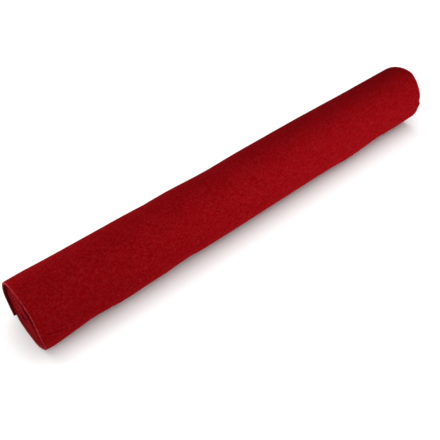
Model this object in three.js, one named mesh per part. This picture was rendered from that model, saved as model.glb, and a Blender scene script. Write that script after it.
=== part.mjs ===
// A roll of felt: one cut length of cloth, wound up loosely with no core, lying on its side.
// Millimetres, +Z up. X runs along the roll, from the near end at -X to the far end at +X.
// The winding is described from the outside in, starting at the free edge of the outermost turn.
import * as THREE from "three";

// The cut cloth.
const CLOTH_WIDTH = 450;
const CLOTH_LENGTH = 1000;
const CLOTH_THICKNESS = 2;

// The wound form. Angles are in degrees in the section seen from the far end, from +Y up towards +Z.
const ROLL_RADIUS = 31; // outside, where the winding ends, but for the lift of the free edge
const FREE_EDGE_ANGLE = -42;
const SAG_ANGLE = -65; // the inner turns sink this way, so the slack opens on the other side
const RESTING_GAP = 0.6; // between turns on the side they sink to
const FLAP_LIFT = 0.4; // how far the free edge stands off the turn under it
const FLAP_ANGLE = 30; // the last stretch of the outermost turn, which lifts
const FLAT_ANGLE = 9; // half of the flat that the roll lies on
const STEPS_PER_TURN = 40;

// One row for each turn from the outside in. slack is the gap on the loose side to the next turn.
// The other columns say how far the turn has slid along +X at its four quarters: from the lower
// back, where its row starts, over the top to the lower front.
const TURNS = [
  { slack: 2.2, lowBack: -1.4, upBack: 0.3, upFront: 0.4, lowFront: 1.6 },
  { slack: 0.7, lowBack: 0.2, upBack: 2.6, upFront: -0.9, lowFront: 1.6 },
  { slack: 0.7, lowBack: 0.5, upBack: 2.3, upFront: -0.9, lowFront: 1.4 },
  { slack: 0.7, lowBack: 0.8, upBack: 2.2, upFront: -0.6, lowFront: 1.2 },
  { slack: 0.7, lowBack: 0.9, upBack: 1.8, upFront: -0.2, lowFront: 1.0 },
  { slack: 0.7, lowBack: 0.9, upBack: 1.4, upFront: 0.1, lowFront: 0.8 },
  { slack: 0.7, lowBack: 0.8, upBack: 1.0, upFront: 0.2, lowFront: 0.7 },
  { slack: 0.7, lowBack: 0.7, upBack: 0.8, upFront: 0.1, lowFront: 0.6 },
  { slack: 0.7, lowBack: 0.5, upBack: 0.5, upFront: 0.2, lowFront: 0.5 },
  { slack: 0.7, lowBack: 0.5, upBack: 0.5, upFront: 0.5, lowFront: 0.5 },
  { slack: 0.7, lowBack: 0.5, upBack: 0.5, upFront: 0.5, lowFront: 0.5 },
];
const SLIDES = TURNS.flatMap((row) => [row.lowBack, row.upBack, row.upFront, row.lowFront]);

const FELT = { color: 0x8c0812, roughness: 0.95, metalness: 0 };

const radians = THREE.MathUtils.degToRad;

// How far the cloth has slid along +X, easing from one quarter of a turn to the next.
function slideAt(turn) {
  const quarter = Math.floor(turn * 4);
  const share = THREE.MathUtils.smoothstep(turn * 4 - quarter, 0, 1);
  return THREE.MathUtils.lerp(SLIDES[quarter], SLIDES[quarter + 1], share);
}

// All the slack between the outermost turn and this one, on the loose side.
function slackTo(turn) {
  const row = Math.floor(turn);
  const whole = TURNS.slice(0, row).reduce((sum, passed) => sum + passed.slack, 0);
  return whole + (turn - row) * TURNS[row].slack;
}

// The outside radius of the winding at a turn. Half of each gap is lost from it, and the turns
// sink by the other half.
function outsideRadius(turn) {
  const flapShare = Math.max(0, 1 - (turn * 360) / FLAP_ANGLE);
  const wound = CLOTH_THICKNESS * turn + (RESTING_GAP * turn + slackTo(turn)) / 2;
  return ROLL_RADIUS - wound + FLAP_LIFT * flapShare ** 2;
}

function sinkAt(turn) {
  const sink = (slackTo(turn) - RESTING_GAP * turn) / 2;
  return new THREE.Vector2(Math.cos(radians(SAG_ANGLE)), Math.sin(radians(SAG_ANGLE))).multiplyScalar(sink);
}

// The flat under the roll: the outermost turn meets the floor between two angles about straight down,
// and every turn above it is pressed up as much.
const turnAtAngle = (angle) => (angle - FREE_EDGE_ANGLE) / 360;
const flatEnds = [270 - FLAT_ANGLE, 270 + FLAT_ANGLE].map(turnAtAngle);
const flatSink = sinkAt(turnAtAngle(270));
const flatRadius = Math.min(...flatEnds.map(outsideRadius));
const flatHalfWidth = flatRadius * Math.sin(radians(FLAT_ANGLE));
const flatDrop = flatRadius * Math.cos(radians(FLAT_ANGLE));
const axisHeight = flatDrop - flatSink.y;

function pressedUp(y, z) {
  const fromFlat = y - flatSink.x;
  const overFlat = z < axisHeight && Math.abs(fromFlat) < flatHalfWidth;
  return overFlat ? Math.sqrt(flatRadius ** 2 - fromFlat ** 2) - flatDrop : 0;
}

// A point of the section, depth in from the cloth's outer face.
function sectionPoint(turn, depth) {
  const angle = radians(FREE_EDGE_ANGLE + 360 * turn);
  const radius = outsideRadius(turn) - depth;
  const sink = sinkAt(turn);
  const y = radius * Math.cos(angle) + sink.x;
  const z = axisHeight + radius * Math.sin(angle) + sink.y;
  return new THREE.Vector2(y, Math.max(depth, z + pressedUp(y, z)));
}

// The turns where the section has a corner: even steps, with one at each end of the flat, until the
// cloth's length is used up.
function windingSteps() {
  const midCloth = (turn) => sectionPoint(turn, CLOTH_THICKNESS / 2);
  const steps = [0];
  let wound = 0;
  while (wound < CLOTH_LENGTH) {
    const last = steps.at(-1);
    const next = Math.min(last + 1 / STEPS_PER_TURN, ...flatEnds.filter((end) => end > last));
    const length = midCloth(last).distanceTo(midCloth(next));
    const share = Math.min(1, (CLOTH_LENGTH - wound) / length);
    steps.push(last + share * (next - last));
    wound += length;
  }
  return steps;
}

// The cloth as one closed sheet. Each step of the winding has four corners: the outer and the inner
// face at the near edge, then the inner and the outer face at the far edge.
function woundCloth() {
  const positions = [];
  const triangles = [];
  const steps = windingSteps();
  for (const turn of steps) {
    const near = slideAt(turn) - CLOTH_WIDTH / 2;
    const far = near + CLOTH_WIDTH;
    const outer = sectionPoint(turn, 0);
    const inner = sectionPoint(turn, CLOTH_THICKNESS);
    positions.push(near, outer.x, outer.y, near, inner.x, inner.y);
    positions.push(far, inner.x, inner.y, far, outer.x, outer.y);
  }
  for (let step = 0; step + 1 < steps.length; step++) {
    for (let corner = 0; corner < 4; corner++) {
      const a = 4 * step + corner;
      const b = 4 * step + ((corner + 1) % 4);
      triangles.push(a, b, a + 4, b, b + 4, a + 4);
    }
  }
  const last = 4 * (steps.length - 1);
  triangles.push(0, 2, 1, 0, 3, 2);
  triangles.push(last, last + 1, last + 2, last, last + 2, last + 3);
  const geometry = new THREE.BufferGeometry();
  geometry.setAttribute("position", new THREE.Float32BufferAttribute(positions, 3));
  geometry.setIndex(triangles);
  geometry.computeVertexNormals();
  return geometry;
}

const roll = new THREE.Mesh(woundCloth(), new THREE.MeshStandardMaterial(FELT));
roll.name = "felt_roll";

// The origin is on the floor, under the middle of the roll.
roll.geometry.computeBoundingBox();
const middle = roll.geometry.boundingBox.getCenter(new THREE.Vector3());
roll.position.set(-middle.x, -middle.y, 0);

const part = new THREE.Group();
part.add(roll);
export default part;
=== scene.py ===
"""A roll of felt lying on a white floor: one wound cloth, the loose fibres on it, and the stage."""

import math
from collections import namedtuple

import bpy
import numpy as np
from bpy.props import FloatProperty, FloatVectorProperty, IntProperty, PointerProperty
from mathutils import Matrix, Vector


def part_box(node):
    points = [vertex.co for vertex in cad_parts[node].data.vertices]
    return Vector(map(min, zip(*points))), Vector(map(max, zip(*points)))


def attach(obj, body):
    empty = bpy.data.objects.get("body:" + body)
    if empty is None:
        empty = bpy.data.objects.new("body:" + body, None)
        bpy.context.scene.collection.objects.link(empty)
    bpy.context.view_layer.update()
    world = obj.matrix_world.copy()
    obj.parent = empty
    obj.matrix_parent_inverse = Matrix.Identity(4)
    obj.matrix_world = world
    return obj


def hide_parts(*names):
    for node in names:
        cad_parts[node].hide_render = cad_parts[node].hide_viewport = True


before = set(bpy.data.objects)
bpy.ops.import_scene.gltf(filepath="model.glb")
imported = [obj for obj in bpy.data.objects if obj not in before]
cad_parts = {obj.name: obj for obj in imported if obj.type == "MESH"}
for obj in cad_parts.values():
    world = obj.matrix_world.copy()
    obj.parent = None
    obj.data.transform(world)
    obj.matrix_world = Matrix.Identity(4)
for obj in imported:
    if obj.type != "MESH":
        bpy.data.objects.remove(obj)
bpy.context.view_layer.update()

bl_info = {
    "name": "Roll of felt",
    "version": (1, 0, 0),
    "blender": (4, 5, 0),
    "location": "View3D > Sidebar > Felt",
    "description": "Builds a loosely wound roll of thick felt on a plain stage",
    "category": "Add Mesh",
}

NODE = "felt_roll"
BODY = "root"
MM = 0.001

# How finely the cloth is divided round the roll: steps in a turn, on the turns that show from outside
# and on those within them. The section is measured in finer steps still.
OUTER_TURNS = 1.1
OUTER_STEPS = 150
INNER_STEPS = 34
MEASURING_STEPS = 20001

# How finely it is divided along the roll, in metres: places in from a cut edge, then the stretches by
# the two ends that are divided more finely than the middle, with their spacing or their number.
EDGE_STATIONS = (0.0, 0.00012, 0.0003, 0.0006, 0.0012, 0.0022)
CREASED_ZONE = 0.022
CREASED_SPACING = 0.001
NEAR_ZONE = 0.055
NEAR_SPACING = 0.003
MIDDLE_STATIONS = 32
FAR_ZONE = 0.030
FAR_STATIONS = 6
FAR_ZONE_END = 0.004

OUT_OF_REACH = -1.0  # a place along the roll that no swell or crease reaches
TURN_FADE = 0.2  # the share of a turn over which a swell or crease dies away

# Fraying, pale cut edges and loose fibres. The outermost turn's cut edges are painted paler, partly for
# frayed fibre ends and partly as a painted highlight along the rim. The cut edges of the inner turns
# have fewer loose fibres and are less pale than the outermost turn's: partly they fray less, partly it
# is painted shade. The outside of the roll has fewer loose fibres than a cut edge.
CUT_EDGE_REACH = 0.45 * MM  # how far in from a cut edge the felt is frayed and painted paler
INNER_FRAYING_AND_SHADE = 0.08
FUZZ_OUTSIDE = 0.15
FUZZ_STARTS = 0.4  # how frayed an edge is where its loose fibres start
FUZZ_RAMP = 0.3  # how much more frayed it is where they are at their thickest

# The felt's own pattern, in millimetres.
CLUMP_SIZE = 2.2
CLOUD_SIZE = 14
TANGLE_SIZE = 0.5
PIT_SPACING = 1.3
SPECK_SIZE = 1.6
NAP_DEPTH = 0.4

# The turns of the cloth from the outside in, in millimetres. slack is the gap on the loose side to
# the next turn. The other columns say how far the turn has slid along the roll towards its far end,
# at eight places round it, from the lower back over the top and down the front to the underside.
FIRST_SLIDE_ANGLE = -53  # degrees, at the lower back
SLIDE_MIDDLE = 0.6  # from the middle of cloth that hasn't slid to the middle of the roll
Turn = namedtuple("Turn", "slack low_back back up_back top up_front front low_front under")
SLIDE_PLACES = len(Turn._fields) - 1
TURNS = (
    Turn(slack=2.2, low_back=-1.4, back=-0.7, up_back=0.3, top=0.5,
         up_front=0.4, front=0.0, low_front=1.6, under=0.5),
    Turn(slack=0.7, low_back=0.2, back=1.4, up_back=1.9, top=0.9,
         up_front=-0.9, front=0.3, low_front=1.6, under=0.8),
    Turn(slack=0.7, low_back=0.5, back=1.2, up_back=1.7, top=0.6,
         up_front=-0.9, front=0.2, low_front=1.4, under=0.9),
    Turn(slack=0.7, low_back=0.8, back=1.3, up_back=1.7, top=0.6,
         up_front=-0.6, front=0.1, low_front=1.2, under=0.8),
    Turn(slack=0.7, low_back=0.9, back=1.2, up_back=1.5, top=0.5,
         up_front=-0.2, front=0.2, low_front=1.0, under=0.9),
    Turn(slack=0.7, low_back=0.9, back=1.2, up_back=1.4, top=0.5,
         up_front=0.1, front=0.3, low_front=0.8, under=0.8),
    Turn(slack=0.7, low_back=0.8, back=0.9, up_back=1.0, top=0.3,
         up_front=0.2, front=0.4, low_front=0.7, under=0.7),
    Turn(slack=0.7, low_back=0.7, back=0.7, up_back=0.8, top=0.0,
         up_front=0.1, front=0.5, low_front=0.6, under=0.6),
    Turn(slack=0.7, low_back=0.5, back=0.5, up_back=0.5, top=0.2,
         up_front=0.2, front=0.5, low_front=0.5, under=0.5),
    Turn(slack=0.7, low_back=0.5, back=0.5, up_back=0.5, top=0.5,
         up_front=0.5, front=0.5, low_front=0.5, under=0.5),
    Turn(slack=0.7, low_back=0.5, back=0.5, up_back=0.5, top=0.5,
         up_front=0.5, front=0.5, low_front=0.5, under=0.5),
)

# Places where the roll swells or is dented: along is measured from the near end, length along the
# roll and spread round it say how soft the place is, and rise is outwards. turns is how many turns
# it moves, counted from the outside. Millimetres and degrees.
Swell = namedtuple("Swell", "along angle length spread rise turns")
SWELLS = (
    Swell(along=0, angle=127, length=5, spread=9, rise=0.8, turns=1),
    Swell(along=7, angle=118, length=5, spread=7, rise=-0.4, turns=1),
    Swell(along=7, angle=183, length=10, spread=8, rise=1.0, turns=1),
    Swell(along=8, angle=222, length=9, spread=18, rise=0.9, turns=12),
    Swell(along=14, angle=37, length=16, spread=30, rise=0.4, turns=12),
    Swell(along=126, angle=37, length=12, spread=30, rise=-0.5, turns=12),
    Swell(along=191, angle=37, length=26, spread=30, rise=-1.0, turns=12),
    Swell(along=310, angle=37, length=50, spread=30, rise=0.4, turns=12),
    Swell(along=44, angle=215, length=14, spread=26, rise=-1.2, turns=12),
    Swell(along=76, angle=215, length=12, spread=26, rise=0.4, turns=12),
    Swell(along=135, angle=215, length=12, spread=26, rise=-1.1, turns=12),
    Swell(along=345, angle=215, length=20, spread=26, rise=1.1, turns=12),
    Swell(along=392, angle=215, length=14, spread=26, rise=-0.8, turns=12),
    Swell(along=95, angle=350, length=34, spread=34, rise=-0.9, turns=12),
    Swell(along=255, angle=340, length=45, spread=36, rise=0.7, turns=12),
    Swell(along=375, angle=355, length=26, spread=34, rise=-0.8, turns=12),
)

# How the cut edges wander along the winding: waves by their rate, in radians a turn, and their share.
Ripple = namedtuple("Ripple", "rate start share")
RIPPLES = (
    Ripple(rate=13, start=0.0, share=1.0),
    Ripple(rate=29, start=1.0, share=0.6),
)

# Soft creases pressed into the outermost turn: from one place to another, along and angle each, with
# a trough and a low ridge that runs above it.
CREASE_RADIUS = 29.0
CREASE_RUN_OUT = 0.15  # a crease deepens to its middle as a half wave does, less this share at each end
CREASE_ANGLES = np.arange(158, 192, 0.8)  # the finer steps that the creases need
Crease = namedtuple("Crease", "along angle to_along to_angle width depth ridge")
CREASES = (
    Crease(along=1, angle=167, to_along=18, to_angle=178, width=0.9, depth=1.5, ridge=0.5),
)

# How far the outermost turn's far edge stands out of line, by angle. Millimetres and degrees.
EdgeStep = namedtuple("EdgeStep", "angle out")
FAR_EDGE = (
    EdgeStep(angle=30, out=0.0),
    EdgeStep(angle=95, out=3.0),
    EdgeStep(angle=107, out=3.2),
    EdgeStep(angle=112, out=2.2),
    EdgeStep(angle=135, out=-0.3),
    EdgeStep(angle=158, out=-1.3),
    EdgeStep(angle=167, out=-2.8),
    EdgeStep(angle=173, out=-0.8),
    EdgeStep(angle=186, out=-3.0),
    EdgeStep(angle=205, out=-3.1),
    EdgeStep(angle=255, out=0.0),
)

# The studio's soft lights, in metres and watts. Each lights the roll or the floor alone, so that the
# felt's shading and the shadow round it are set apart from each other.
Softbox = namedtuple("Softbox", "name lights place aim width height watts")
SOFTBOXES = (
    Softbox("front_low", "roll", (0.14, -0.42, 0.12), (0.08, 0.0, 0.03), 0.35, 0.20, 2.51),
    Softbox("front_high", "roll", (0.10, -0.38, 0.35), (0.05, 0.0, 0.03), 0.35, 0.25, 2.3),
    Softbox("near_top", "roll", (-0.25, 0.05, 0.50), (-0.18, 0.0, 0.04), 0.30, 0.30, 2.19),
    Softbox("near_back", "roll", (-0.42, 0.35, 0.15), (-0.20, 0.0, 0.04), 0.25, 0.25, 2.39),
    Softbox("far_end", "roll", (0.90, -0.02, 0.08), (0.22, 0.0, 0.03), 0.30, 0.20, 1.2),
    Softbox("floor_top", "floor", (0.0, -0.10, 1.20), (0.0, 0.0, 0.0), 1.60, 1.60, 20.2),
    Softbox("floor_front", "floor", (0.10, -1.20, 0.80), (0.0, 0.0, 0.0), 1.50, 1.00, 4.3),
    Softbox("floor_back", "floor", (0.30, 1.30, 0.90), (0.20, 0.60, 0.0), 1.50, 1.00, 6.0),
    Softbox("floor_left", "floor", (-1.00, -0.20, 0.50), (-0.20, 0.0, 0.0), 0.80, 0.50, 2.3),
    Softbox("floor_left_low", "floor", (-0.60, -0.15, 0.25), (-0.27, -0.02, 0.0), 0.40, 0.25, 0.3),
)
FLOOR_SIDES = 96
SENSOR_WIDTH = 36.0  # millimetres
CLIP_START = 0.01


def linear(hex_colour):
    """Linear RGB of an sRGB hex value."""
    def channel(place):
        value = int(hex_colour[place:place + 2], 16) / 255
        return value / 12.92 if value <= 0.04045 else ((value + 0.055) / 1.055) ** 2.4
    return tuple(channel(place) for place in (1, 3, 5))


class FeltClothSettings(bpy.types.PropertyGroup):
    """The cut cloth and how it is wound."""

    width: FloatProperty(
        name="Width", description="Cut width, along the roll", default=0.450, unit="LENGTH"
    )
    length: FloatProperty(
        name="Length", description="Cut length, all of it wound up", default=1.000, unit="LENGTH"
    )
    thickness: FloatProperty(
        name="Thickness", description="Thickness of the felt", default=0.002, unit="LENGTH"
    )
    edge_round: FloatProperty(
        name="Edge rounding", description="How far in the cut edges are worn round",
        default=0.0006, unit="LENGTH"
    )
    edge_blunt: FloatProperty(
        name="Edge bluntness", description="Share of the thickness that the cut edge keeps",
        default=0.6, subtype="FACTOR"
    )
    edge_ripple: FloatProperty(
        name="Edge ripple", description="How far the cut edges wander along the winding",
        default=0.0001, unit="LENGTH"
    )
    radius: FloatProperty(
        name="Radius", description="Outside radius where the winding ends", default=0.0310, unit="LENGTH"
    )
    free_edge_angle: FloatProperty(
        name="Free edge", description="Where the winding ends, from level at the back",
        default=math.radians(-42), subtype="ANGLE"
    )
    sag_angle: FloatProperty(
        name="Sag direction", description="The way that the inner turns sink",
        default=math.radians(-65), subtype="ANGLE"
    )
    resting_gap: FloatProperty(
        name="Resting gap", description="Gap between turns on the side they sink to",
        default=0.0006, unit="LENGTH"
    )
    flap_lift: FloatProperty(
        name="Flap lift", description="How far the free edge stands off the turn under it",
        default=0.0004, unit="LENGTH"
    )
    flap_angle: FloatProperty(
        name="Flap", description="The last stretch of the outermost turn, which lifts",
        default=math.radians(30), subtype="ANGLE"
    )
    flat_angle: FloatProperty(
        name="Flat", description="Half of the flat that the roll lies on",
        default=math.radians(9), subtype="ANGLE"
    )


class FeltFuzzSettings(bpy.types.PropertyGroup):
    """The loose fibres on the felt."""

    density: FloatProperty(
        name="Density", description="Fibres on a square metre of cut edge", default=420000.0
    )
    length: FloatProperty(
        name="Length", description="Length of the longest loose fibre", default=0.0015, unit="LENGTH"
    )
    radius: FloatProperty(
        name="Radius", description="Radius of the longest fibre at its root", default=0.000035, unit="LENGTH"
    )
    seed: IntProperty(name="Seed", description="Which scatter of fibres is made", default=7)


class FeltFinishSettings(bpy.types.PropertyGroup):
    """Colours of the felt."""

    red: FloatVectorProperty(
        name="Felt", description="The dyed felt", default=linear("#620307"), size=3, subtype="COLOR"
    )
    # Darker, deeper red where the nap is low between the clumps: partly the felt's uneven tone, partly
    # painted shade in the hollows.
    deep_tone_and_shade: FloatVectorProperty(
        name="Hollows", description="Between the clumps of fibre", default=linear("#540001"), size=3,
        subtype="COLOR"
    )
    fleck: FloatVectorProperty(
        name="Flecks", description="Fibres that took less dye", default=linear("#702024"), size=3,
        subtype="COLOR"
    )
    fibre: FloatVectorProperty(
        name="Loose fibre", description="Fine fibres that let light through", default=linear("#b84650"),
        size=3, subtype="COLOR"
    )
    # Paler red along the cut edges: partly frayed fibre ends, partly a painted highlight where the rim
    # catches the light. It is also the colour of the paler loose fibres.
    pale: FloatVectorProperty(
        name="Cut edge", description="Fibre ends that stand out of a cut edge", default=linear("#9a2c36"),
        size=3, subtype="COLOR"
    )


class FeltStageSettings(bpy.types.PropertyGroup):
    """Camera, floor and lights."""

    azimuth: FloatProperty(
        name="Azimuth", description="Camera's angle about the upright axis",
        default=math.radians(-41.04), subtype="ANGLE"
    )
    elevation: FloatProperty(
        name="Elevation", description="Camera's angle above the floor",
        default=math.radians(45.28), subtype="ANGLE"
    )
    distance: FloatProperty(
        name="Distance", description="From the camera to the point it looks at",
        default=0.5437, unit="LENGTH"
    )
    target: FloatVectorProperty(
        name="Target", description="The point that the camera looks at",
        default=(-0.0304, 0.0025, -0.0012), size=3, subtype="TRANSLATION"
    )
    lens: FloatProperty(name="Lens", description="Focal length in millimetres", default=47.85)
    floor_radius: FloatProperty(
        name="Floor", description="Radius of the white floor", default=0.75, unit="LENGTH"
    )
    room_light: FloatProperty(name="Room light", description="Even light from all round", default=0.22)


def fade(share):
    """Smooth ramp from 0 to 1."""
    share = np.clip(share, 0.0, 1.0)
    return share * share * (3.0 - 2.0 * share)


def swelling(along, angle, turn):
    """How far the cloth is pushed out by the swells, dents and creases, at a place and a turn."""
    along = along / MM
    angle = np.degrees(angle) % 360
    push = np.zeros(np.broadcast(along, angle, turn).shape)
    for row in SWELLS:
        reached = fade((row.turns + TURN_FADE - turn) / TURN_FADE)
        turned = (angle - row.angle + 180) % 360 - 180
        off = ((along - row.along) / row.length) ** 2 + (turned / row.spread) ** 2
        push += row.rise * reached * np.exp(-off)
    for row in CREASES:
        share = np.clip((along - row.along) / (row.to_along - row.along), 0.0, 1.0)
        middle = row.angle + (row.to_angle - row.angle) * share
        beyond = np.abs(along - row.along - (row.to_along - row.along) * share)
        round_off = np.radians(angle - middle) * CREASE_RADIUS
        half_wave = np.sin(math.pi * (CREASE_RUN_OUT + (1 - 2 * CREASE_RUN_OUT) * share))
        ends = np.exp(-((beyond / (2 * row.width)) ** 2)) * half_wave
        trough = -row.depth * np.exp(-((round_off / row.width) ** 2))
        ridge = row.ridge * np.exp(-(((round_off + 2 * row.width) / row.width) ** 2))
        push += (trough + ridge) * ends * fade((1 + TURN_FADE - turn) / TURN_FADE)
    return push * MM


class Winding:
    """The roll's section: where each turn of the cloth lies."""

    def __init__(self, cloth):
        self.cloth = cloth
        bottom = 1.5 * math.pi
        flat_ends = np.array((bottom - cloth.flat_angle, bottom + cloth.flat_angle))
        sunk = float(self.sink(self.turn_at(bottom)))
        self.flat_radius = min(self.outside_radius(self.turn_at(flat_ends)))
        self.flat_half_width = self.flat_radius * math.sin(cloth.flat_angle)
        self.flat_drop = self.flat_radius * math.cos(cloth.flat_angle)
        self.flat_y = sunk * math.cos(cloth.sag_angle)
        self.axis_height = self.flat_drop - sunk * math.sin(cloth.sag_angle)

    def turn_at(self, angle):
        """The place on the outermost turn at an angle."""
        return (angle - self.cloth.free_edge_angle) / (2 * math.pi)

    def slack_to(self, turn):
        """All the slack between the outermost turn and this one, on the loose side."""
        passed = np.concatenate(([0.0], np.cumsum([row.slack for row in TURNS]))) * MM
        return np.interp(turn, np.arange(len(passed)), passed)

    def outside_radius(self, turn):
        """Half of each gap is lost from the radius, and the turns sink by the other half."""
        cloth = self.cloth
        flap = np.clip(1.0 - turn * 2 * math.pi / cloth.flap_angle, 0.0, 1.0)
        wound = cloth.thickness * turn + (cloth.resting_gap * turn + self.slack_to(turn)) / 2
        return cloth.radius - wound + cloth.flap_lift * flap**2

    def sink(self, turn):
        """How far the turn has sunk."""
        return (self.slack_to(turn) - self.cloth.resting_gap * turn) / 2

    def drift(self, turn):
        """How far the turn has slid along +X."""
        slides = np.array([row[1:] for row in TURNS]).ravel() * MM
        from_first = turn + (self.cloth.free_edge_angle - math.radians(FIRST_SLIDE_ANGLE)) / (2 * math.pi)
        place = np.clip(from_first * SLIDE_PLACES, 0, len(slides) - 1.001)
        row = place.astype(int)
        ripple = sum(wave.share * np.sin(wave.rate * turn + wave.start) for wave in RIPPLES)
        slide = slides[row] + (slides[row + 1] - slides[row]) * fade(place - row)
        return slide + self.cloth.edge_ripple * ripple

    def far_edge(self, turn):
        """How far the far edge stands out, on the outermost turn."""
        angles = np.radians([row.angle for row in FAR_EDGE])
        outs = [row.out * MM for row in FAR_EDGE]
        return np.interp(turn, self.turn_at(angles), outs, left=0.0, right=0.0)

    def section(self, turn, out, along):
        """Y and Z of the point that lies out from the middle of the cloth."""
        cloth = self.cloth
        angle = cloth.free_edge_angle + 2 * math.pi * turn
        radius = self.outside_radius(turn) - cloth.thickness / 2 + out + swelling(along, angle, turn)
        sink = self.sink(turn)
        y = radius * np.cos(angle) + sink * math.cos(cloth.sag_angle)
        z = self.axis_height + radius * np.sin(angle) + sink * math.sin(cloth.sag_angle)
        from_flat = np.abs(y - self.flat_y)
        under = (z < self.axis_height) & (from_flat < self.flat_half_width)
        arch = np.sqrt(np.maximum(self.flat_radius**2 - from_flat**2, 0.0)) - self.flat_drop
        z = z + np.where(under, arch, 0.0)
        return y, np.maximum(z, cloth.thickness / 2 - out)

    def middle(self):
        """X and Y of the middle of the winding as it is without its swells and its worn far edge."""
        outermost = np.linspace(0.0, OUTER_TURNS, MEASURING_STEPS)
        y, _ = self.section(outermost, self.cloth.thickness / 2, OUT_OF_REACH)
        return SLIDE_MIDDLE * MM, (y.min() + y.max()) / 2

    def steps(self):
        """Turn and wound length at each step, until the cloth's length is used up."""
        fine = np.linspace(0.0, len(TURNS) - 1.0, MEASURING_STEPS)
        y, z = self.section(fine, 0.0, self.cloth.width / 2)
        length = np.concatenate(([0.0], np.cumsum(np.hypot(np.diff(y), np.diff(z)))))
        lip = np.array(EDGE_STATIONS)
        free_edge = np.interp(lip, length, fine)
        outer = np.arange(free_edge[-1] + 1 / OUTER_STEPS, OUTER_TURNS, 1 / OUTER_STEPS)
        creased = self.turn_at(np.radians(CREASE_ANGLES))
        outer = np.sort(np.concatenate((outer[(outer < creased[0]) | (outer > creased[-1])], creased)))
        inner_edge = np.interp(self.cloth.length - lip[::-1], length, fine)
        inner = np.arange(OUTER_TURNS, inner_edge[0] - 0.5 / INNER_STEPS, 1 / INNER_STEPS)
        turns = np.concatenate((free_edge, outer, inner, inner_edge))
        return turns, np.interp(turns, fine, length)


def cloth_stations(cloth):
    """Places across the width, from the near edge, closest together by the edges and the creases."""
    edge = np.array(EDGE_STATIONS)
    creased = np.arange(edge[-1] + CREASED_SPACING, CREASED_ZONE, CREASED_SPACING)
    near = np.arange(CREASED_ZONE + 2 * CREASED_SPACING, NEAR_ZONE, NEAR_SPACING)
    middle = np.linspace(NEAR_ZONE, cloth.width - FAR_ZONE, MIDDLE_STATIONS)
    far = np.linspace(cloth.width - FAR_ZONE, cloth.width - FAR_ZONE_END, FAR_STATIONS)[1:]
    return np.concatenate((edge, creased, near, middle, far, cloth.width - edge[::-1]))


def cloth_faces(index, stations):
    """Quads between each ring of points and the next, and over the sheet's two ends."""
    ahead = np.roll(index, -1, axis=1)
    sides = np.stack((index[:-1], index[1:], ahead[1:], ahead[:-1]), axis=-1).reshape(-1, 4)
    outer = index[:, :stations]
    inner = index[:, :stations - 1:-1]
    free_end = np.stack((outer[0, :-1], outer[0, 1:], inner[0, 1:], inner[0, :-1]), axis=-1)
    last_end = np.stack((outer[-1, :-1], inner[-1, :-1], inner[-1, 1:], outer[-1, 1:]), axis=-1)
    return np.concatenate((sides, free_end, last_end))


def mark_fibres(mesh, rings, turns, to_edge, cloth):
    """Marks the pale, frayed cut edges and where loose fibres are.

    The pale-edge mark is 1 at the cut edges of the outermost turn and falls off within a millimetre. It
    makes the felt paler there, partly for frayed fibre ends and partly as a painted highlight along the
    rim, and it is kept low on the inner turns, partly as they fray less and partly as painted shade. fuzz
    is thick on those edges, thin on the outside of the roll, and none inside it or on the floor.
    """
    cut_edge = np.exp(-((np.concatenate((to_edge, to_edge[:, ::-1]), axis=1) / CUT_EDGE_REACH) ** 2))
    # Inner turns get less fuzz and a less pale edge: partly they fray less, partly painted shade.
    fraying_and_shade = np.where(turns < 1.0, 1.0, INNER_FRAYING_AND_SHADE)[:, None]
    outside = np.zeros(cut_edge.shape)
    outside[turns < 1.0, :to_edge.shape[1]] = FUZZ_OUTSIDE
    on_edges = fraying_and_shade * fade((cut_edge - FUZZ_STARTS) / FUZZ_RAMP)
    fuzz = np.maximum(outside, on_edges) * (rings[..., 2] > cloth.thickness)
    for name, values in (("frayed", cut_edge * fraying_and_shade), ("fuzz", fuzz)):
        mesh.attributes.new(name, "FLOAT", "POINT").data.foreach_set("value", values.ravel())


def wound_cloth_mesh(cloth):
    """The wound cloth as one closed sheet with worn cut edges."""
    winding = Winding(cloth)
    turns, wound = winding.steps()
    across = cloth_stations(cloth)
    to_side = np.minimum(across, cloth.width - across)
    to_end = np.minimum(wound, cloth.length - wound)
    to_edge = np.minimum(to_side[None, :], to_end[:, None])

    worn = (1.0 - np.clip(to_edge / cloth.edge_round, 0.0, 1.0)) ** 2
    half = cloth.thickness / 2 * np.sqrt(1.0 - worn * (1.0 - cloth.edge_blunt**2))

    turn_grid, along_grid = np.meshgrid(turns, across, indexing="ij")
    stretch = along_grid / cloth.width * winding.far_edge(turns)[:, None]
    middle_x, middle_y = winding.middle()
    x = along_grid - cloth.width / 2 + winding.drift(turns)[:, None] + stretch - middle_x
    y_out, z_out = winding.section(turn_grid, half, along_grid)
    y_in, z_in = winding.section(turn_grid, -half, along_grid)
    outer = np.stack((x, y_out - middle_y, z_out), axis=-1)
    inner = np.stack((x, y_in - middle_y, z_in), axis=-1)

    # Each step is a ring: the outer face from the near edge to the far one, and the inner face back.
    rings = np.concatenate((outer, inner[:, ::-1]), axis=1)
    points = rings.reshape(-1, 3)
    faces = cloth_faces(np.arange(len(points)).reshape(rings.shape[:2]), len(across))
    mesh = bpy.data.meshes.new("felt_roll_cloth")
    mesh.from_pydata(points.tolist(), [], faces.tolist())
    mesh.polygons.foreach_set("use_smooth", [True] * len(mesh.polygons))
    mark_fibres(mesh, rings, turns, to_edge, cloth)
    return mesh


def add_node(tree, kind, settings=None, **inputs):
    """Adds a node, sets its properties, and sets or links its inputs, given by name or place."""
    node = tree.nodes.new(kind)
    for name, value in (settings or {}).items():
        setattr(node, name, value)
    for name, value in inputs.items():
        place = int(name[1:]) if name[0] == "i" and name[1:].isdigit() else name.replace("_", " ")
        socket = node.inputs[place]
        if isinstance(value, bpy.types.NodeSocket):
            tree.links.new(value, socket)
        else:
            socket.default_value = value
    return node


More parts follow.
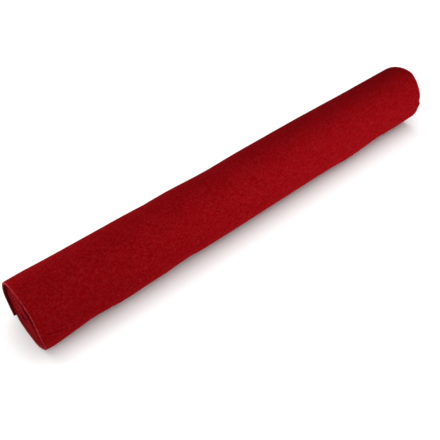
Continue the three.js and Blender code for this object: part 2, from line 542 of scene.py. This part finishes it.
def felt_material(finish):
    """Needle-punched felt.

    Barbed needles tangle a web of dyed fibre into a dense mat with no weave. The eye sees soft
    clumps a few millimetres across, small pits where the needles went in, and a nap so matt that
    it only lightens where it is seen edge on. The low places between the clumps are a darker, deeper
    red, partly for the felt's uneven tone and partly as painted shade in the hollows. Cut edges are
    paler, partly because fibre ends stand out and partly as a painted highlight along the rim.
    """
    material = bpy.data.materials.new("needle_punched_felt")
    material.use_nodes = True
    tree = material.node_tree
    shader = tree.nodes["Principled BSDF"]
    place = add_node(tree, "ShaderNodeTexCoord").outputs["Object"]
    edge = add_node(tree, "ShaderNodeAttribute", {"attribute_name": "frayed"}).outputs["Fac"]

    clumps = add_node(
        tree, "ShaderNodeTexNoise", Vector=place, Scale=1 / (CLUMP_SIZE * MM), Detail=3.0, Roughness=0.6
    ).outputs["Fac"]
    clouds = add_node(
        tree, "ShaderNodeTexNoise", Vector=place, Scale=1 / (CLOUD_SIZE * MM), Detail=2.0, Roughness=0.5
    ).outputs["Fac"]
    # Single fibres are too fine to show, so this tangle of them is drawn ten times as coarse.
    tangle = add_node(
        tree, "ShaderNodeTexNoise", Vector=place, Scale=1 / (TANGLE_SIZE * MM), Detail=2.0,
        Distortion=3.0
    ).outputs["Fac"]
    pits = add_node(
        tree, "ShaderNodeTexVoronoi", {"feature": "F1"}, Vector=place, Scale=1 / (PIT_SPACING * MM)
    ).outputs["Distance"]

    soft = add_node(tree, "ShaderNodeMix", {"data_type": "FLOAT"}, i0=0.25, i2=clumps, i3=clouds).outputs[0]
    tone = add_node(tree, "ShaderNodeMix", {"data_type": "FLOAT"}, i0=0.3, i2=soft, i3=tangle).outputs[0]
    nap = add_node(
        tree, "ShaderNodeMapRange", {"interpolation_type": "SMOOTHSTEP"}, Value=tone,
        From_Min=0.36, From_Max=0.64
    ).outputs["Result"]
    # The darker, deeper red where the nap is low is partly the felt's uneven tone and partly painted shade
    # in the hollows between the clumps.
    dyed = add_node(
        tree, "ShaderNodeMix", {"data_type": "RGBA"}, i0=nap, i6=(*finish.deep_tone_and_shade, 1), i7=(*finish.red, 1)
    ).outputs[2]
    # Fibres that took less dye show as small greyish flecks, drawn a few times coarser than they are.
    specks = add_node(
        tree, "ShaderNodeTexNoise", Vector=place, Scale=1 / (SPECK_SIZE * MM), Detail=2.0, Roughness=0.6
    ).outputs["Fac"]
    flecks = add_node(
        tree, "ShaderNodeMapRange", Value=specks, From_Min=0.46, From_Max=0.70, To_Max=0.24
    ).outputs["Result"]
    mixed = add_node(
        tree, "ShaderNodeMix", {"data_type": "RGBA"}, i0=flecks, i6=dyed, i7=(*finish.fleck, 1)
    ).outputs[2]
    # The pale cut edge, partly frayed fibre ends and partly a painted highlight along the rim, is broken
    # into patches: only some of the fibre ends along a cut edge stand out far enough to look pale.
    patchy = add_node(
        tree, "ShaderNodeMapRange", Value=clumps, From_Min=0.4, From_Max=0.65, To_Min=0.35, To_Max=1.0
    ).outputs["Result"]
    frayed = add_node(
        tree, "ShaderNodeMath", {"operation": "MULTIPLY"}, i0=edge, i1=patchy
    ).outputs["Value"]
    colour = add_node(
        tree, "ShaderNodeMix", {"data_type": "RGBA"}, i0=frayed, i6=mixed, i7=(*finish.pale, 1)
    ).outputs[2]
    tree.links.new(colour, shader.inputs["Base Color"])

    matt = add_node(tree, "ShaderNodeMapRange", Value=tangle, To_Min=0.88, To_Max=1.0).outputs["Result"]
    tree.links.new(matt, shader.inputs["Roughness"])
    pitted = add_node(tree, "ShaderNodeMix", {"data_type": "FLOAT"}, i0=0.3, i2=tone, i3=pits).outputs[0]
    bump = add_node(tree, "ShaderNodeBump", Height=pitted, Strength=0.6, Distance=NAP_DEPTH * MM)
    tree.links.new(bump.outputs["Normal"], shader.inputs["Normal"])

    shader.inputs["Specular IOR Level"].default_value = 0.005
    shader.inputs["Sheen Weight"].default_value = 0.1
    shader.inputs["Sheen Roughness"].default_value = 0.5
    shader.inputs["Sheen Tint"].default_value = (*linear("#ff1927"), 1)
    return material


def fibre_material(finish):
    """Loose dyed staple fibre.

    Fine crimped hairs that catch the light one by one, some paler than others where the dye took less.
    """
    material = bpy.data.materials.new("loose_felt_fibre")
    material.use_nodes = True
    tree = material.node_tree
    shader = tree.nodes["Principled BSDF"]
    dye = add_node(tree, "ShaderNodeAttribute", {"attribute_name": "dye"}).outputs["Fac"]
    colour = add_node(
        tree, "ShaderNodeMix", {"data_type": "RGBA"}, i0=dye, i6=(*finish.fibre, 1), i7=(*finish.pale, 1)
    ).outputs[2]
    tree.links.new(colour, shader.inputs["Base Color"])
    shader.inputs["Roughness"].default_value = 0.8
    shader.inputs["Specular IOR Level"].default_value = 0.1
    return material


def fuzz_tree():
    """Geometry nodes that scatter short bent fibres over a cloth by its fuzz attribute."""
    tree = bpy.data.node_groups.new("loose_fibres", "GeometryNodeTree")
    for name, kind in (
        ("Cloth", "NodeSocketGeometry"), ("Density", "NodeSocketFloat"), ("Length", "NodeSocketFloat"),
        ("Radius", "NodeSocketFloat"), ("Seed", "NodeSocketInt"), ("Material", "NodeSocketMaterial"),
    ):
        tree.interface.new_socket(name, in_out="INPUT", socket_type=kind)
    tree.interface.new_socket("Fibres", in_out="OUTPUT", socket_type="NodeSocketGeometry")
    given = add_node(tree, "NodeGroupInput").outputs

    covered = add_node(
        tree, "GeometryNodeInputNamedAttribute", {"data_type": "FLOAT"}, Name="fuzz"
    ).outputs["Attribute"]
    density = add_node(
        tree, "ShaderNodeMath", {"operation": "MULTIPLY"}, i0=covered, i1=given["Density"]
    ).outputs["Value"]
    roots = add_node(
        tree, "GeometryNodeDistributePointsOnFaces", {"distribute_method": "RANDOM"}, Mesh=given["Cloth"],
        Density=density, Seed=given["Seed"]
    )

    # One fibre of length 1: it leaves the cloth, bends over and runs out along it.
    path = add_node(
        tree, "GeometryNodeCurveQuadraticBezier", Resolution=3, Start=(0.0, 0.0, -0.05),
        Middle=(0.25, 0.1, 0.5), End=(0.95, -0.1, 0.3)
    ).outputs["Curve"]
    taper = add_node(
        tree, "ShaderNodeMapRange", Value=add_node(tree, "GeometryNodeSplineParameter").outputs["Factor"],
        To_Min=1.0, To_Max=0.4
    ).outputs["Result"]
    slimness = add_node(
        tree, "ShaderNodeMath", {"operation": "DIVIDE"}, i0=given["Radius"], i1=given["Length"]
    ).outputs["Value"]
    outline = add_node(
        tree, "GeometryNodeCurvePrimitiveCircle", {"mode": "RADIUS"}, Resolution=3, Radius=slimness
    ).outputs["Curve"]
    fibre = add_node(
        tree, "GeometryNodeCurveToMesh", Curve=path, Profile_Curve=outline, Scale=taper, Fill_Caps=True
    ).outputs["Mesh"]

    lean = add_node(
        tree, "FunctionNodeRandomValue", {"data_type": "FLOAT_VECTOR"}, i0=(-0.5, -0.5, 0.0),
        i1=(0.5, 0.5, 2 * math.pi), Seed=given["Seed"]
    ).outputs[0]
    turn = add_node(tree, "FunctionNodeEulerToRotation", Euler=lean).outputs["Rotation"]
    facing = add_node(
        tree, "FunctionNodeRotateRotation", {"rotation_space": "LOCAL"},
        Rotation=roots.outputs["Rotation"], Rotate_By=turn
    ).outputs["Rotation"]
    share = add_node(
        tree, "FunctionNodeRandomValue", {"data_type": "FLOAT"}, i2=0.35, i3=1.0, Seed=given["Seed"]
    ).outputs[1]
    size = add_node(
        tree, "ShaderNodeMath", {"operation": "MULTIPLY"}, i0=share, i1=given["Length"]
    ).outputs["Value"]
    planted = add_node(
        tree, "GeometryNodeInstanceOnPoints", Points=roots.outputs["Points"], Instance=fibre,
        Rotation=facing, Scale=size
    ).outputs["Instances"]
    dye = add_node(
        tree, "FunctionNodeRandomValue", {"data_type": "FLOAT"}, i2=0.0, i3=1.0, Seed=given["Seed"]
    ).outputs[1]
    dyed = add_node(
        tree, "GeometryNodeStoreNamedAttribute", {"data_type": "FLOAT", "domain": "INSTANCE"},
        Geometry=planted, Name="dye", Value=dye
    ).outputs["Geometry"]
    real = add_node(tree, "GeometryNodeRealizeInstances", Geometry=dyed).outputs["Geometry"]
    made = add_node(tree, "GeometryNodeSetMaterial", Geometry=real, Material=given["Material"])
    add_node(tree, "NodeGroupOutput", Fibres=made.outputs["Geometry"])
    return tree


def fuzz_mesh(cloth_mesh, fuzz, material):
    """The loose fibres of a cloth as a plain mesh."""
    tree = fuzz_tree()
    sower = finished(cloth_mesh.copy(), "fibre_sower")
    nodes = sower.modifiers.new("loose_fibres", "NODES")
    nodes.node_group = tree
    values = {
        "Density": fuzz.density, "Length": fuzz.length, "Radius": fuzz.radius, "Seed": fuzz.seed,
        "Material": material,
    }
    for item in tree.interface.items_tree:
        if item.name in values:
            nodes[item.identifier] = values[item.name]
    depsgraph = bpy.context.evaluated_depsgraph_get()
    mesh = bpy.data.meshes.new_from_object(sower.evaluated_get(depsgraph))
    bpy.data.objects.remove(sower)
    if not mesh.polygons:
        raise RuntimeError("no loose fibres were made")
    mesh.name = "felt_roll_fuzz"
    return mesh


def finished(mesh, name):
    """A new object for a finished mesh, at the origin."""
    piece = bpy.data.objects.new(name, mesh)
    bpy.context.scene.collection.objects.link(piece)
    return piece


def lay_floor(stage):
    """A round sheet of plain white paper.

    Uncoated paper is quite matt, so the eye sees only the roll's soft shadow on it.
    """
    angles = np.linspace(0.0, 2 * math.pi, FLOOR_SIDES, endpoint=False)
    rim = [(stage.floor_radius * math.cos(a), stage.floor_radius * math.sin(a), 0.0) for a in angles]
    mesh = bpy.data.meshes.new("floor")
    mesh.from_pydata(rim, [], [range(len(rim))])
    material = bpy.data.materials.new("white_paper_floor")
    material.use_nodes = True
    paper = material.node_tree.nodes["Principled BSDF"]
    paper.inputs["Base Color"].default_value = (*linear("#f3f3f3"), 1)
    paper.inputs["Roughness"].default_value = 1.0
    mesh.materials.append(material)
    finished(mesh, "floor")


def light_room(scene):
    """Even light from all round, with plain white where the camera sees past the floor."""
    scene.world = bpy.data.worlds.new("soft_room")
    scene.world.use_nodes = True
    room = scene.world.node_tree
    sky = room.nodes["Background"]
    sky.inputs["Color"].default_value = (*linear("#ffffff"), 1)
    seen = add_node(room, "ShaderNodeLightPath").outputs["Is Camera Ray"]
    strength = add_node(room, "ShaderNodeMapRange", Value=seen, To_Min=scene.felt_stage.room_light)
    room.links.new(strength.outputs["Result"], sky.inputs["Strength"])


def add_softbox(box, receivers):
    """A soft rectangular light that lights only the receivers."""
    light = bpy.data.lights.new(box.name, "AREA")
    light.shape = "RECTANGLE"
    light.size = box.width
    light.size_y = box.height
    light.energy = box.watts
    lamp = bpy.data.objects.new(box.name, light)
    lamp.location = box.place
    lamp.rotation_euler = (Vector(box.aim) - Vector(box.place)).to_track_quat("-Z", "Y").to_euler()
    lamp.light_linking.receiver_collection = receivers
    bpy.context.scene.collection.objects.link(lamp)


def hang_softboxes():
    """All the soft lights, each on the roll or on the floor alone."""
    lit = {"roll": ("felt_roll_cloth", "felt_roll_fuzz"), "floor": ("floor",)}
    for target, names in lit.items():
        receivers = bpy.data.collections.new(f"{target}_only")
        for name in names:
            receivers.objects.link(bpy.data.objects[name])
        for box in SOFTBOXES:
            if box.lights == target:
                add_softbox(box, receivers)


def place_camera(scene):
    """The camera, looking down on the roll from its near end."""
    stage = scene.felt_stage
    back = Vector((
        math.sin(stage.azimuth) * math.cos(stage.elevation),
        -math.cos(stage.azimuth) * math.cos(stage.elevation),
        math.sin(stage.elevation),
    ))
    camera = bpy.data.objects.new("camera", bpy.data.cameras.new("camera"))
    camera.data.sensor_width = SENSOR_WIDTH
    camera.data.lens = stage.lens
    camera.data.clip_start = CLIP_START
    camera.location = Vector(stage.target) + back * stage.distance
    camera.rotation_euler = back.to_track_quat("Z", "Y").to_euler()
    scene.collection.objects.link(camera)
    scene.camera = camera


class FELT_OT_cloth(bpy.types.Operator):
    """Winds the cloth and lays it where the frame has it"""

    bl_idname = "felt.cloth"
    bl_label = "Wind the cloth"

    def execute(self, context):
        settings = context.scene.felt_cloth
        mesh = wound_cloth_mesh(settings)
        low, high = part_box(NODE)
        middle = (Vector(low) + Vector(high)) / 2
        mesh.transform(Matrix.Translation((middle.x, middle.y, low[2])))
        mesh.materials.append(felt_material(context.scene.felt_finish))
        piece = finished(mesh, "felt_roll_cloth")
        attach(piece, BODY)
        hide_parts(NODE)
        return {"FINISHED"}


class FELT_OT_fuzz(bpy.types.Operator):
    bl_idname = "felt.fuzz"
    bl_label = "Raise the fuzz"

    def execute(self, context):
        scene = context.scene
        cloth = bpy.data.objects["felt_roll_cloth"]
        material = fibre_material(scene.felt_finish)
        piece = finished(fuzz_mesh(cloth.data, scene.felt_fuzz, material), "felt_roll_fuzz")
        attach(piece, BODY)
        return {"FINISHED"}


class FELT_OT_stage(bpy.types.Operator):
    """Lays the floor, hangs the lights and sets up the camera"""

    bl_idname = "felt.stage"
    bl_label = "Set the stage"

    def execute(self, context):
        scene = context.scene
        lay_floor(scene.felt_stage)
        light_room(scene)
        hang_softboxes()
        place_camera(scene)
        scene.view_settings.view_transform = "Standard"
        return {"FINISHED"}


class FELT_PT_panel(bpy.types.Panel):
    """Lists the steps of the roll and its sizes"""

    bl_idname = "FELT_PT_panel"
    bl_label = "Roll of felt"
    bl_space_type = "VIEW_3D"
    bl_region_type = "UI"
    bl_category = "Felt"

    def draw(self, context):
        scene = context.scene
        steps = (
            (FELT_OT_cloth, (scene.felt_cloth, scene.felt_finish)),
            (FELT_OT_fuzz, (scene.felt_fuzz,)),
            (FELT_OT_stage, (scene.felt_stage,)),
        )
        for step, groups in steps:
            box = self.layout.box()
            box.operator(step.bl_idname)
            for group in groups:
                for name in group.__annotations__:
                    box.prop(group, name)


CLASSES = (
    FeltClothSettings,
    FeltFuzzSettings,
    FeltFinishSettings,
    FeltStageSettings,
    FELT_OT_cloth,
    FELT_OT_fuzz,
    FELT_OT_stage,
    FELT_PT_panel,
)


def register():
    for cls in CLASSES:
        bpy.utils.register_class(cls)
    bpy.types.Scene.felt_cloth = PointerProperty(type=FeltClothSettings)
    bpy.types.Scene.felt_fuzz = PointerProperty(type=FeltFuzzSettings)
    bpy.types.Scene.felt_finish = PointerProperty(type=FeltFinishSettings)
    bpy.types.Scene.felt_stage = PointerProperty(type=FeltStageSettings)


def unregister():
    del bpy.types.Scene.felt_stage
    del bpy.types.Scene.felt_finish
    del bpy.types.Scene.felt_fuzz
    del bpy.types.Scene.felt_cloth
    for cls in reversed(CLASSES):
        bpy.utils.unregister_class(cls)


def main():
    register()
    bpy.ops.felt.cloth()
    bpy.ops.felt.fuzz()
    bpy.ops.felt.stage()


if __name__ == "__main__":
    main()
